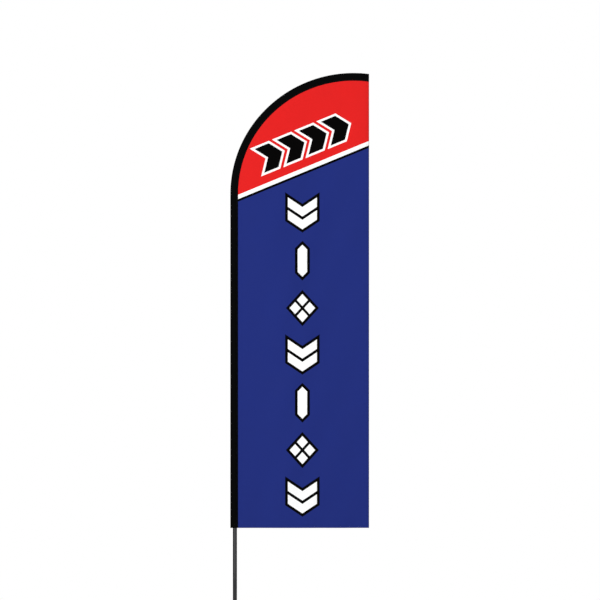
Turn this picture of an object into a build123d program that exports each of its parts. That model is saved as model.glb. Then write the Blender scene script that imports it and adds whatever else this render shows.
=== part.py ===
from build123d import *

import os
from math import atan2, cos, degrees, radians, sin, sqrt

# A feather flag on its pole, in millimetres. +Z is up. The origin is on the pole's axis at ground
# level. The flag flies towards +X and its printed face looks towards -Y.
#
# A steel spike goes into the ground up to its stop plate. A spindle turns in two ball bearings
# above the plate. Three slip-fit tubes and a bent glass-fibre tip rod stand on the spindle, and
# the flag's sleeve is threaded over them.

# ---- Driving dimensions: the flag ----
FLAG_WIDTH = 914.4  # 3 ft
FLAG_HEIGHT = 3000
FLAG_BOTTOM = 600  # height of the lower edge above the ground
SLEEVE_WIDTH = 51  # 2 in, from the folded edge to the seam
POLE_INSET = 30  # the pole's axis, measured from the sleeve's folded edge
SHOULDER_RADIUS = 783  # the outline's first arc, above the straight side
SHOULDER_TURN = 40  # degrees
CROWN_RADIUS = 821  # the outline's second arc, over the top

# ---- Driving dimensions: fabric thicknesses ----
PANEL_THICKNESS = 1.0
SLEEVE_WALL = 1.0
BINDING_THICKNESS = 0.6
LINER_THICKNESS = 0.8
HEM_WIDTH = 20
BINDING_HEIGHT = 40
LINER_LENGTH = 80
SLEEVE_END_WALL = 2.0

# ---- Driving dimensions: the pole ----
POLE_DIAMETER = 27
TUBE_WALL = 1.5
BUSHING_WALL = 1.0
SLIP_CLEARANCE = 0.05  # radial, between a tube and the bushing that guides it
SECTION_LENGTH = 945
SLIP_DEPTH = 150  # how far one section reaches into the next
BUSHING_LENGTH = 40
BUSHING_FLANGE = 2
COLLAR_HEIGHT = 12

# ---- Driving dimensions: the tip rod ----
ROD_TIP_DIAMETER = 8
ROD_CROWN_INSET = 12  # the bent rod's axis, measured from the sleeve's folded edge
ROD_BEND_HEIGHT = 2850  # where the rod leaves the pole's axis
ROD_TAPER_LENGTH = 150
ROD_END_GAP = 25  # from the rod's end to the flag's right-hand edge
TIP_CAP_DIAMETER = 12
TIP_CAP_LENGTH = 24
TIP_CAP_OVERLAP = 15  # the length of rod inside the cap

# ---- Driving dimensions: the ground spike ----
SPIKE_DIAMETER = 16
SPIKE_DEPTH = 450
SPIKE_POINT_LENGTH = 60
SPIGOT_DIAMETER = 14  # the spike's upper end, which is pressed through the plate
COUNTERSINK_DEPTH = 2  # of the weld that joins the spike to the plate
SPIGOT_DEPTH = 8  # how far it reaches into the bearing housing
PLATE_DIAMETER = 80
PLATE_THICKNESS = 5
HOUSING_DIAMETER = 40
HOUSING_HEIGHT = 50
RING_GROOVE_DEPTH = 1
RING_GROOVE_WIDTH = 1.4
RETAINING_RING_THICKNESS = 1.2
SEAL_LIP_GAP = 0.3  # radial, so that the spindle turns freely

# ---- Driving dimensions: the bearings, 12 x 28 x 8 ----
BEARING_BORE = 12
BEARING_OUTSIDE = 28
BEARING_WIDTH = 8
BEARING_SPACING = 12  # the gap between the two bearings
BALL_DIAMETER = 4.76
BALL_COUNT = 8
BALL_CLEARANCE = 0.03

# ---- Driving dimensions: the spindle ----
STUB_DIAMETER = 18
STUB_LENGTH = 130
SPINDLE_SHOULDER = 16
SPINDLE_FLANGE = 36
FLANGE_THICKNESS = 5
FLANGE_GAP = 2  # between the flange and the housing below it
WASHER_THICKNESS = 2
CLIP_THICKNESS = 1.1
CLIP_GROOVE_DEPTH = 0.4

# ---- Heights up the ground spike ----
plate_top = PLATE_THICKNESS
housing_top = plate_top + HOUSING_HEIGHT
socket_top = plate_top + SPIGOT_DEPTH
relief_floor = socket_top + 2
lower_bearing = relief_floor + 3
lower_bearing_top = lower_bearing + BEARING_WIDTH
upper_bearing = lower_bearing_top + BEARING_SPACING
bearings_top = upper_bearing + BEARING_WIDTH
flange_bottom = housing_top + FLANGE_GAP
flange_top = flange_bottom + FLANGE_THICKNESS
pole_foot = flange_top + WASHER_THICKNESS
stub_top = flange_top + STUB_LENGTH

# ---- The flag's outline ----
fold_x = -POLE_INSET
seam_x = fold_x + SLEEVE_WIDTH
flag_right = fold_x + FLAG_WIDTH
flag_top = FLAG_BOTTOM + FLAG_HEIGHT
radius_step = CROWN_RADIUS - SHOULDER_RADIUS
shoulder_x = fold_x + SHOULDER_RADIUS
crown_x = shoulder_x + radius_step * cos(radians(SHOULDER_TURN))
crown_z = flag_top - CROWN_RADIUS
shoulder_z = crown_z + radius_step * sin(radians(SHOULDER_TURN))

# ---- The pole's sections, from the ground up ----
diameter_step = 2 * (TUBE_WALL + BUSHING_WALL + SLIP_CLEARANCE)
middle_diameter = POLE_DIAMETER - diameter_step
upper_diameter = middle_diameter - diameter_step
rod_diameter = upper_diameter - diameter_step
lower_tube_bottom = pole_foot + BUSHING_FLANGE
middle_tube_bottom = lower_tube_bottom + SECTION_LENGTH + BUSHING_FLANGE - SLIP_DEPTH
upper_tube_bottom = middle_tube_bottom + SECTION_LENGTH + BUSHING_FLANGE - SLIP_DEPTH
rod_bottom = upper_tube_bottom + SECTION_LENGTH + BUSHING_FLANGE - SLIP_DEPTH

# ---- The bent rod: two arcs, the second one concentric with the flag's crown ----
rod_crown_radius = CROWN_RADIUS - ROD_CROWN_INSET
rod_rise = ROD_BEND_HEIGHT - crown_z
rod_bend_radius = (rod_crown_radius + crown_x) / 2 - rod_rise**2 / (2 * (rod_crown_radius - crown_x))
rod_bend_turn = degrees(atan2(rod_rise, crown_x - rod_bend_radius))
rod_end_turn = 90 + degrees(atan2(flag_right - ROD_END_GAP - crown_x, rod_crown_radius))

# ---- The sleeve's section: flats over the pole, measured from the folded edge ----
EDGE_HALF_DEPTH = 1.1  # at the fold and at the seam, where the two layers meet
POLE_FLATS = (21, 39)
POLE_HALF_DEPTH = 15.5
ROD_FLATS = (6, 36)
ROD_HALF_DEPTH = 8
SLEEVE_TAPER = (2640, 2790)  # heights between which the sleeve narrows from the pole to the rod

Y_AXIS = (0, 1, 0)
shoulder_axis = Axis((shoulder_x, 0, shoulder_z), Y_AXIS)
crown_axis = Axis((crown_x, 0, crown_z), Y_AXIS)
rod_bend_axis = Axis((rod_bend_radius, 0, ROD_BEND_HEIGHT), Y_AXIS)


# ---- Shapes that repeat ----
def turned(*points):
    """A solid turned about the pole's axis. Each point of its profile is (radius, height)."""
    profile = Polyline(*[(radius, 0, height) for radius, height in points], close=True)
    return revolve(make_face(profile.edges()), Axis.Z)


def ring(outer_diameter, inner_diameter, bottom, top, chamfer=0.0):
    """A plain ring or tube about the pole's axis, with its outer edges chamfered."""
    outer = outer_diameter / 2
    inner = inner_diameter / 2
    if chamfer == 0:
        return turned((inner, bottom), (outer, bottom), (outer, top), (inner, top))
    return turned(
        (inner, bottom),
        (outer - chamfer, bottom),
        (outer, bottom + chamfer),
        (outer, top - chamfer),
        (outer - chamfer, top),
        (inner, top),
    )


def block(x_range, y_range, z_range):
    """A box between the given limits."""
    sizes = [high - low for low, high in (x_range, y_range, z_range)]
    middles = [(high + low) / 2 for low, high in (x_range, y_range, z_range)]
    return Pos(*middles) * Box(*sizes)


def left_of(x_limit):
    """Everything of the flag that lies to the left of this place."""
    return block((-FLAG_WIDTH, x_limit), (-FLAG_WIDTH, FLAG_WIDTH), (-SPIKE_DEPTH, 2 * flag_top))


# ---- Ground spike ----
def spike_rod():
    """A pointed rod whose shoulder bears on the plate's underside."""
    radius = SPIKE_DIAMETER / 2
    spigot = SPIGOT_DIAMETER / 2
    point_radius = 1
    return turned(
        (0, -SPIKE_DEPTH),
        (point_radius, -SPIKE_DEPTH),
        (radius, SPIKE_POINT_LENGTH - SPIKE_DEPTH),
        (radius, 0),
        (spigot, 0),
        (spigot, socket_top - 1),
        (spigot - 1, socket_top),
        (0, socket_top),
    )


def stop_plate():
    """A round plate. Its bore is countersunk underneath for the weld to the spike."""
    rim = PLATE_DIAMETER / 2
    bore = SPIGOT_DIAMETER / 2
    chamfer = 1
    return turned(
        (bore, COUNTERSINK_DEPTH),
        (bore + COUNTERSINK_DEPTH, 0),
        (rim - chamfer, 0),
        (rim, chamfer),
        (rim, plate_top - chamfer),
        (rim - chamfer, plate_top),
        (bore, plate_top),
    )


def bearing_housing():
    """A cup that holds both bearings, with a socket for the spike in its base."""
    outer = HOUSING_DIAMETER / 2
    seat = BEARING_OUTSIDE / 2
    relief = seat - 2
    groove = seat + RING_GROOVE_DEPTH
    groove_top = bearings_top + RING_GROOVE_WIDTH
    spigot = SPIGOT_DIAMETER / 2
    return turned(
        (spigot, plate_top),
        (outer - 1, plate_top),
        (outer, plate_top + 1),
        (outer, housing_top - 2),
        (outer - 2, housing_top),
        (seat, housing_top),
        (seat, groove_top),
        (groove, groove_top),
        (groove, bearings_top),
        (seat, bearings_top),
        (seat, lower_bearing),
        (relief, lower_bearing),
        (relief, relief_floor),
        (0, relief_floor),
        (0, socket_top),
        (spigot, socket_top),
    )


def open_ring(outer_diameter, inner_diameter, bottom, top, gap):
    """A spring-steel retaining ring with a gap in its +X side."""
    whole = ring(outer_diameter, inner_diameter, bottom, top)
    return whole - block((0, outer_diameter), (-gap / 2, gap / 2), (bottom - 1, top + 1))


def dust_seal():
    """A rubber ring pressed into the housing, with a lip that leans on to the spindle."""
    outer = BEARING_OUTSIDE / 2
    lip = SPINDLE_SHOULDER / 2 + SEAL_LIP_GAP
    neck = lip + 1.8
    lip_root = lip + 3
    bottom = bearings_top + RING_GROOVE_WIDTH + 0.2
    return turned(
        (outer, bottom),
        (outer, housing_top - 1),
        (lip_root, housing_top - 1),
        (lip + 1.2, housing_top),
        (lip, housing_top),
        (lip, housing_top - 1),
        (neck, bottom + 1.5),
        (neck, bottom),
    )


# ---- Bearings ----
LAND_GAP = 6  # between the two rings' lands, in diameter
pitch_radius = (BEARING_BORE + BEARING_OUTSIDE) / 4
groove_radius = BALL_DIAMETER / 2 + BALL_CLEARANCE
inner_land = 2 * pitch_radius - LAND_GAP / 2
outer_land = 2 * pitch_radius + LAND_GAP / 2


def ball_track(bottom):
    """The space that the balls run in, shared by the grooves of both rings."""
    return Pos(0, 0, bottom + BEARING_WIDTH / 2) * Torus(pitch_radius, groove_radius)


def outer_bearing_ring(bottom):
    body = ring(BEARING_OUTSIDE, outer_land, bottom, bottom + BEARING_WIDTH, chamfer=0.3)
    return body - ball_track(bottom)


def inner_bearing_ring(bottom):
    body = ring(inner_land, BEARING_BORE, bottom, bottom + BEARING_WIDTH)
    return body - ball_track(bottom)


def ball_places(bottom):
    middle = bottom + BEARING_WIDTH / 2
    return [Rot(Z=360 * i / BALL_COUNT) * Pos(pitch_radius, 0, middle) for i in range(BALL_COUNT)]


def bearing_balls(bottom):
    ball = Sphere(BALL_DIAMETER / 2)
    return Compound(children=[place * ball for place in ball_places(bottom)])


def bearing_cage(bottom):
    """A nylon crown: a ring between the two lands, with an open pocket for each ball."""
    side_play = 0.3
    pocket_play = 0.1
    base_depth = 3.4
    finger_height = 1.2
    middle = bottom + BEARING_WIDTH / 2
    crown = ring(
        outer_land - 2 * side_play,
        inner_land + 2 * side_play,
        middle - base_depth,
        middle + finger_height,
    )
    pocket = Sphere(BALL_DIAMETER / 2 + pocket_play)
    for place in ball_places(bottom):
        crown -= place * pocket
    return crown


# ---- Spindle ----
def spindle_shaft():
    seat = BEARING_BORE / 2
    shoulder = SPINDLE_SHOULDER / 2
    flange = SPINDLE_FLANGE / 2
    stub = STUB_DIAMETER / 2
    groove = seat - CLIP_GROOVE_DEPTH
    clip_bottom = lower_bearing - CLIP_THICKNESS
    shaft_end = relief_floor + 0.6
    return turned(
        (0, shaft_end),
        (seat - 0.5, shaft_end),
        (seat, shaft_end + 0.5),
        (seat, clip_bottom),
        (groove, clip_bottom),
        (groove, lower_bearing),
        (seat, lower_bearing),
        (seat, bearings_top),
        (shoulder, bearings_top),
        (shoulder, flange_bottom),
        (flange - 0.5, flange_bottom),
        (flange, flange_bottom + 0.5),
        (flange, flange_top - 1.5),
        (flange - 1.5, flange_top),
        (stub, flange_top),
        (stub, stub_top - 6),
        (stub - 3, stub_top),
        (0, stub_top),
    )


# ---- Pole sections ----
def pole_tube(diameter, bottom):
    return ring(diameter, diameter - 2 * TUBE_WALL, bottom, bottom + SECTION_LENGTH, chamfer=0.3)


def top_bushing(diameter, bottom):
    """The nylon bushing in a tube's upper end. Its flange covers the rim, and its bore guides the
    next section."""
    rim = bottom + SECTION_LENGTH
    outer = diameter / 2
    inside = outer - TUBE_WALL
    bore = inside - BUSHING_WALL
    return turned(
        (bore, rim - BUSHING_LENGTH),
        (inside, rim - BUSHING_LENGTH),
        (inside, rim),
        (outer, rim),
        (outer, rim + BUSHING_FLANGE - 0.5),
        (outer - 0.5, rim + BUSHING_FLANGE),
        (bore, rim + BUSHING_FLANGE),
    )


def foot_bushing():
    """The nylon bushing in the pole's lower end, which stands on the spindle's washer."""
    outer = POLE_DIAMETER / 2
    inside = outer - TUBE_WALL
    bore = STUB_DIAMETER / 2 + SLIP_CLEARANCE
    return turned(
        (bore + 1, pole_foot),
        (outer - 0.5, pole_foot),
        (outer, pole_foot + 0.5),
        (outer, lower_tube_bottom),
        (inside, lower_tube_bottom),
        (inside, lower_tube_bottom + BUSHING_LENGTH),
        (bore, lower_tube_bottom + BUSHING_LENGTH),
        (bore, pole_foot + 1),
    )


def spindle_guide():
    """The second nylon bushing inside the pole, which steadies it on the stub's upper end."""
    inside = POLE_DIAMETER - 2 * TUBE_WALL
    bore = STUB_DIAMETER + 2 * SLIP_CLEARANCE
    top = stub_top - 10
    return ring(inside, bore, top - BUSHING_LENGTH, top)


def stop_collar(diameter, section_bottom):
    """The collar fixed on a section. It stands on the bushing of the section below."""
    bottom = section_bottom + SLIP_DEPTH
    return ring(diameter + diameter_step, diameter, bottom, bottom + COLLAR_HEIGHT, chamfer=1.0)


# ---- Tip rod ----
def tip_rod():
    base = rod_diameter / 2
    tip = ROD_TIP_DIAMETER / 2
    straight = turned(
        (0, rod_bottom),
        (base - 1, rod_bottom),
        (base, rod_bottom + 1),
        (base, ROD_BEND_HEIGHT - ROD_TAPER_LENGTH),
        (tip, ROD_BEND_HEIGHT),
        (0, ROD_BEND_HEIGHT),
    )
    start = Pos(0, 0, ROD_BEND_HEIGHT) * Circle(tip)
    bend = revolve(start, rod_bend_axis, rod_bend_turn)
    handover = start.rotate(rod_bend_axis, rod_bend_turn)
    crown = revolve(handover, crown_axis, rod_end_turn - rod_bend_turn)
    return straight + bend + crown


def rod_end_place():
    """A place at the rod's end, with its Z axis along the rod."""
    turn = radians(rod_end_turn)
    end = Vector(
        crown_x - rod_crown_radius * cos(turn),
        0,
        crown_z + rod_crown_radius * sin(turn),
    )
    return Plane(end, x_dir=Y_AXIS, z_dir=(sin(turn), 0, cos(turn)))


def tip_cap():
    """A round-nosed rubber cap, bored to fit the rod's last stretch."""
    nose = TIP_CAP_DIAMETER / 2
    body_height = TIP_CAP_LENGTH - nose
    start = rod_end_place() * Pos(0, 0, -TIP_CAP_OVERLAP)
    body = start * Cylinder(nose, body_height, align=(Align.CENTER, Align.CENTER, Align.MIN))
    cap = body + start * Pos(0, 0, body_height) * Sphere(nose)
    return cap - tip_rod()


# ---- Flag ----
def flag_face(inset):
    """The flag's face, this far in from the folded edge but out to the other two edges."""
    left = fold_x + inset
    crown_reach = CROWN_RADIUS - inset
    past_crown = flag_right - crown_x
    crown_end = 180 - degrees(atan2(sqrt(crown_reach**2 - past_crown**2), past_crown))
    side = Line((left, FLAG_BOTTOM), (left, shoulder_z))
    shoulder = CenterArc((shoulder_x, shoulder_z), SHOULDER_RADIUS - inset, 180, -SHOULDER_TURN)
    crown = CenterArc((crown_x, crown_z), crown_reach, 180 - SHOULDER_TURN, SHOULDER_TURN - crown_end)
    edges = Polyline(crown @ 1, (flag_right, FLAG_BOTTOM), (left, FLAG_BOTTOM))
    outline = side.edges() + shoulder.edges() + crown.edges() + edges.edges()
    return Plane.XZ * make_face(outline)


def cloth(face, front, back):
    """A flat piece of cloth between two places along Y."""
    return Pos(0, back, 0) * extrude(face, back - front)


def flag_panel():
    return cloth(flag_face(SLEEVE_WIDTH), -PANEL_THICKNESS / 2, PANEL_THICKNESS / 2)


def hem(x_range, z_range):
    """A folded hem, sewn flat against the panel's back."""
    behind = cloth(flag_face(SLEEVE_WIDTH), PANEL_THICKNESS / 2, 3 * PANEL_THICKNESS / 2)
    return behind & block(x_range, (0, 2 * PANEL_THICKNESS), z_range)


def bottom_hem():
    return hem((seam_x, flag_right), (FLAG_BOTTOM, FLAG_BOTTOM + HEM_WIDTH))


def side_hem():
    return hem((flag_right - HEM_WIDTH, flag_right), (FLAG_BOTTOM + HEM_WIDTH, flag_top))


def sleeve_section(flats, half_depth, inset):
    """The flattened tube in section, from the folded edge to the seam, drawn this far inside its
    outer surface."""
    front = [
        (0, -EDGE_HALF_DEPTH),
        (flats[0], -half_depth),
        (flats[1], -half_depth),
        (SLEEVE_WIDTH, -EDGE_HALF_DEPTH),
    ]
    back = [(along, -depth) for along, depth in reversed(front)]
    outline = Pos(fold_x, 0) * make_face(Polyline(*front, *back, close=True).edges())
    if inset == 0:
        return outline
    return offset(outline, -inset, kind=Kind.INTERSECTION)


def crown_tube(section):
    """The stretch of the sleeve over the flag's crown, running on past the right-hand edge."""
    past_edge = 12
    foot = Pos(0, 0, shoulder_z) * section
    handover = foot.rotate(shoulder_axis, SHOULDER_TURN)
    return revolve(handover, crown_axis, 90 + past_edge - SHOULDER_TURN)


def sleeve_body(inset):
    """The sleeve as a solid bar: straight beside the pole, narrowing, then round the two arcs."""
    wide = sleeve_section(POLE_FLATS, POLE_HALF_DEPTH, inset)
    slim = sleeve_section(ROD_FLATS, ROD_HALF_DEPTH, inset)
    taper_bottom, taper_top = SLEEVE_TAPER
    straight = extrude(Pos(0, 0, FLAG_BOTTOM) * wide, taper_bottom - FLAG_BOTTOM)
    taper = loft([Pos(0, 0, taper_bottom) * wide, Pos(0, 0, taper_top) * slim], ruled=True)
    neck = extrude(Pos(0, 0, taper_top) * slim, shoulder_z - taper_top)
    shoulder = revolve(Pos(0, 0, shoulder_z) * slim, shoulder_axis, SHOULDER_TURN)
    return straight + taper + neck + shoulder + crown_tube(slim)


def pole_sleeve():
    """The sleeve, open at its lower end and sewn shut at the flag's right-hand edge."""
    outside = sleeve_body(0) & left_of(flag_right)
    inside = sleeve_body(SLEEVE_WALL) & left_of(flag_right - SLEEVE_END_WALL)
    return outside - inside


def sleeve_mouth_binding():
    """The band sewn inside the sleeve's open end."""
    outside = sleeve_section(POLE_FLATS, POLE_HALF_DEPTH, SLEEVE_WALL)
    inside = sleeve_section(POLE_FLATS, POLE_HALF_DEPTH, SLEEVE_WALL + BINDING_THICKNESS)
    return extrude(Pos(0, 0, FLAG_BOTTOM) * (outside - inside), BINDING_HEIGHT)


def tip_pocket_liner():
    """The doubled cloth inside the sleeve's closed end, which takes the push of the rod's tip."""
    end = flag_right - SLEEVE_END_WALL
    outside = crown_tube(sleeve_section(ROD_FLATS, ROD_HALF_DEPTH, SLEEVE_WALL))
    inside = crown_tube(sleeve_section(ROD_FLATS, ROD_HALF_DEPTH, SLEEVE_WALL + LINER_THICKNESS))
    pocket = (outside & left_of(end)) - (inside & left_of(end - LINER_THICKNESS))
    return pocket - left_of(end - LINER_LENGTH)


# ---- The whole flag, one solid or one group of like solids to a node ----
nodes = {
    "spike_rod": spike_rod(),
    "stop_plate": stop_plate(),
    "bearing_housing": bearing_housing(),
    "lower_bearing_outer_ring": outer_bearing_ring(lower_bearing),
    "upper_bearing_outer_ring": outer_bearing_ring(upper_bearing),
    "outer_ring_spacer": ring(BEARING_OUTSIDE, BEARING_OUTSIDE - 4, lower_bearing_top, upper_bearing),
    "housing_retaining_ring": open_ring(
        BEARING_OUTSIDE + 2 * RING_GROOVE_DEPTH,
        BEARING_OUTSIDE - 3,
        bearings_top,
        bearings_top + RETAINING_RING_THICKNESS,
        gap=7,
    ),
    "dust_seal": dust_seal(),
    "lower_bearing_balls": bearing_balls(lower_bearing),
    "lower_bearing_cage": bearing_cage(lower_bearing),
    "upper_bearing_balls": bearing_balls(upper_bearing),
    "upper_bearing_cage": bearing_cage(upper_bearing),
    "spindle_shaft": spindle_shaft(),
    "lower_bearing_inner_ring": inner_bearing_ring(lower_bearing),
    "upper_bearing_inner_ring": inner_bearing_ring(upper_bearing),
    "inner_ring_spacer": ring(SPINDLE_SHOULDER, BEARING_BORE, lower_bearing_top, upper_bearing),
    "spindle_circlip": open_ring(
        SPINDLE_SHOULDER + 1,
        BEARING_BORE - 2 * CLIP_GROOVE_DEPTH,
        lower_bearing - CLIP_THICKNESS,
        lower_bearing,
        gap=4,
    ),
    "pole_rest_washer": ring(POLE_DIAMETER + 3, STUB_DIAMETER, flange_top, pole_foot, chamfer=0.4),
    "lower_pole_tube": pole_tube(POLE_DIAMETER, lower_tube_bottom),
    "lower_pole_foot_bushing": foot_bushing(),
    "spindle_guide_bushing": spindle_guide(),
    "lower_pole_top_bushing": top_bushing(POLE_DIAMETER, lower_tube_bottom),
    "middle_pole_tube": pole_tube(middle_diameter, middle_tube_bottom),
    "middle_pole_stop_collar": stop_collar(middle_diameter, middle_tube_bottom),
    "middle_pole_top_bushing": top_bushing(middle_diameter, middle_tube_bottom),
    "upper_pole_tube": pole_tube(upper_diameter, upper_tube_bottom),
    "upper_pole_stop_collar": stop_collar(upper_diameter, upper_tube_bottom),
    "upper_pole_top_bushing": top_bushing(upper_diameter, upper_tube_bottom),
    "tip_rod": tip_rod(),
    "tip_rod_stop_collar": stop_collar(rod_diameter, rod_bottom),
    "tip_cap": tip_cap(),
    "tip_pocket_liner": tip_pocket_liner(),
    "pole_sleeve": pole_sleeve(),
    "sleeve_mouth_binding": sleeve_mouth_binding(),
    "flag_panel": flag_panel(),
    "bottom_hem": bottom_hem(),
    "side_hem": side_hem(),
}

os.makedirs("parts", exist_ok=True)
for name, solid in nodes.items():
    export_step(solid, f"parts/{name}.step")
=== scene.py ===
from math import asin, atan2, cos, hypot, pi, radians, sin, sqrt, tan

import bmesh
import bpy
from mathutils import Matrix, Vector, noise
from mathutils.geometry import delaunay_2d_cdt


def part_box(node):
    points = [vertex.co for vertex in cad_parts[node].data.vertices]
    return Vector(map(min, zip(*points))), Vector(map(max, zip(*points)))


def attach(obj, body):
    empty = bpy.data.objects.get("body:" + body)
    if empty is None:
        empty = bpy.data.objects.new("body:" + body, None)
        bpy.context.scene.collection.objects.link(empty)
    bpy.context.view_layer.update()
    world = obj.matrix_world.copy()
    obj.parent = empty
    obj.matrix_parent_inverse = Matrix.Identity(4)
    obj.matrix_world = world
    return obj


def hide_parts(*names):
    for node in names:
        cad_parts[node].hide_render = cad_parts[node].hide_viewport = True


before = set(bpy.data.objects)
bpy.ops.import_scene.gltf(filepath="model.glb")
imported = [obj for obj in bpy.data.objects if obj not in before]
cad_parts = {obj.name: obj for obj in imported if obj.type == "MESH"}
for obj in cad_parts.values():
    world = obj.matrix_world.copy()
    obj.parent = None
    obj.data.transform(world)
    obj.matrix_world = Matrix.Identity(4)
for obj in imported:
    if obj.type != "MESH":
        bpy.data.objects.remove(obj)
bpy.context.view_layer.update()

# The looks of a feather flag on its pole, in metres, in the frame's own axes: +Z is up, the pole
# stands on the origin, the flag flies towards +X and its printed face looks towards -Y.

# ---- Places read from the frame ----
POLE_SECTIONS = ("lower", "middle", "upper")
sleeve_low, sleeve_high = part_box("pole_sleeve")
panel_low, panel_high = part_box("flag_panel")
binding_low, binding_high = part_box("sleeve_mouth_binding")
liner_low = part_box("tip_pocket_liner")[0]
cap_low, cap_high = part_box("tip_cap")
fold_x = sleeve_low.x
seam_x = panel_low.x
flag_right = panel_high.x
flag_bottom = panel_low.z
flag_top = sleeve_high.z
sleeve_width = seam_x - fold_x
pole_inset = -fold_x

# ---- The flag's outline, as it was cut ----
SHOULDER_RADIUS = 0.783
SHOULDER_TURN = radians(40)
CROWN_RADIUS = 0.821
radius_step = CROWN_RADIUS - SHOULDER_RADIUS
shoulder_x = fold_x + SHOULDER_RADIUS
crown_x = shoulder_x + radius_step * cos(SHOULDER_TURN)
crown_z = flag_top - CROWN_RADIUS
shoulder_z = crown_z + radius_step * sin(SHOULDER_TURN)

# ---- The tip rod's path ----
ROD_CROWN_INSET = 0.012
ROD_BEND_HEIGHT = 2.850
ROD_BASE_RADIUS = 0.00585
ROD_TIP_RADIUS = 0.0035
ROD_END_GAP = 0.009  # from the rod's tip to the outer end of its cap
rod_crown_radius = CROWN_RADIUS - ROD_CROWN_INSET
rod_rise = ROD_BEND_HEIGHT - crown_z
rod_bend_radius = (rod_crown_radius + crown_x) / 2 - rod_rise**2 / (2 * (rod_crown_radius - crown_x))
rod_bend_turn = atan2(rod_rise, crown_x - rod_bend_radius)
rod_end_turn = pi / 2 + atan2(cap_high.x - ROD_END_GAP - crown_x, rod_crown_radius)

# ---- Cloth ----
CLOTH_THICKNESS = 0.0005
GRID_SPACING = 0.012
EDGE_SPACING = 0.006  # along the panel's edges and hems
HEM_WIDTH = 0.020
STATION_SPACING = 0.006  # between the sleeve's cross-sections


def box_radius(node):
    low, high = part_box(node)
    return (high.y - low.y) / 2


def smooth(value, start, end):
    """0 before start, 1 after end, and a soft rise between them."""
    t = min(max((value - start) / (end - start), 0.0), 1.0)
    return t * t * (3 - 2 * t)


def spread(start, end, steps):
    """Values from start to end, both included, in even steps."""
    return [start + (end - start) * i / steps for i in range(steps + 1)]


def spaced(start, end, spacing):
    """Values from start to end in even steps of about this spacing."""
    return spread(start, end, round((end - start) / spacing))


def around(steps):
    """Even steps round a circle, as angles."""
    return [2 * pi * j / steps for j in range(steps)]


def noise_at(x, y, z):
    return noise.noise(Vector((x, y, z)))


def settle(piece, body, node=None):
    """Hides the frame node that a piece stands for, if one is given, and hangs the piece on the body that
    carries it.
    """
    if node is not None:
        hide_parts(node)
    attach(piece, body)
    return piece


# ==== Materials ====
def add_node(tree, kind, output, inputs, **settings):
    """One output of a new node with these settings. Each input is linked from a socket or given a
    plain value."""
    node = tree.nodes.new("ShaderNode" + kind)
    for key, value in settings.items():
        setattr(node, key, value)
    fill_inputs(tree, node, inputs)
    return node.outputs[output]


def fill_inputs(tree, node, inputs):
    for key, value in inputs.items():
        if isinstance(value, bpy.types.NodeSocket):
            tree.links.new(value, node.inputs[key])
        else:
            node.inputs[key].default_value = value


looks = {}


class Finish:
    """A node material in the making. Its textures lie in the piece's own space, in metres."""

    def __init__(self, name, shading):
        material = bpy.data.materials.new(name)
        material.use_nodes = True
        looks[name] = material
        self.tree = material.node_tree
        self.coords = add_node(self.tree, "TexCoord", "Object", {})
        self.shade(shading)

    def shade(self, inputs):
        """Fills sockets of the shader."""
        fill_inputs(self.tree, self.tree.nodes["Principled BSDF"], inputs)

    def noise(self, scale, detail, stretch=(1, 1, 1)):
        """A noise value, stretched along the piece's axes."""
        place = add_node(self.tree, "Mapping", "Vector", {"Vector": self.coords, "Scale": stretch})
        return add_node(self.tree, "TexNoise", "Fac", {"Vector": place, "Scale": scale, "Detail": detail})

    def wave(self, direction, wavelength):
        """A sine band pattern across one axis of the piece."""
        inputs = {"Vector": self.coords, "Scale": 2 * pi / (20 * wavelength), "Detail": 0.0}
        settings = {"wave_type": "BANDS", "bands_direction": direction}
        return add_node(self.tree, "TexWave", "Fac", inputs, **settings)

    def math(self, operation, first, second):
        """One Math node on two sockets or numbers."""
        return add_node(self.tree, "Math", "Value", {0: first, 1: second}, operation=operation)

    def paint(self, colour, value, contrast):
        """The surface's colour, made darker and lighter by a value round 0.5."""
        dark = [c * (1 - contrast) for c in colour]
        light = [min(1.0, c * (1 + contrast)) for c in colour]
        inputs = {"A": (*dark, 1), "B": (*light, 1), "Factor": value}
        self.shade({"Base Color": add_node(self.tree, "Mix", "Result", inputs, data_type="RGBA")})

    def roughen(self, value, low, high):
        """The surface's roughness: the value from 0.3 to 0.7, spread over low to high."""
        inputs = {"Value": value, "From Min": 0.3, "From Max": 0.7, "To Min": low, "To Max": high}
        self.shade({"Roughness": add_node(self.tree, "MapRange", "Result", inputs)})

    def relief(self, height, strength, distance):
        """Small bumps, too fine to be shaped in the mesh."""
        inputs = {"Height": height, "Strength": strength, "Distance": distance}
        self.shade({"Normal": add_node(self.tree, "Bump", "Normal", inputs)})


def knitted_cloth(name, colour, roughness=0.78, specular=0.05, sheen=0.02, knit=0.0016, relief=0.00018):
    """Warp-knitted polyester, dyed one colour: columns of small loops with a dull sheen."""
    cloth = Finish(name, {"Specular IOR Level": specular, "Sheen Weight": sheen, "Sheen Roughness": 0.5})
    loops = cloth.math("MULTIPLY", cloth.wave("X", knit), cloth.wave("Z", knit * 0.8))
    blotches = cloth.noise(6.0, 4.0)
    fibres = cloth.noise(900.0, 2.0)
    shade = cloth.math("ADD", cloth.math("MULTIPLY", loops, 0.9), 0.125)
    shade = cloth.math("ADD", shade, cloth.math("MULTIPLY", blotches, 0.3))
    cloth.paint(colour, shade, 0.13)
    cloth.roughen(blotches, roughness - 0.05, roughness + 0.05)
    height = cloth.math("ADD", loops, cloth.math("MULTIPLY", fibres, 0.4))
    cloth.relief(height, 0.55, relief)


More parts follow.
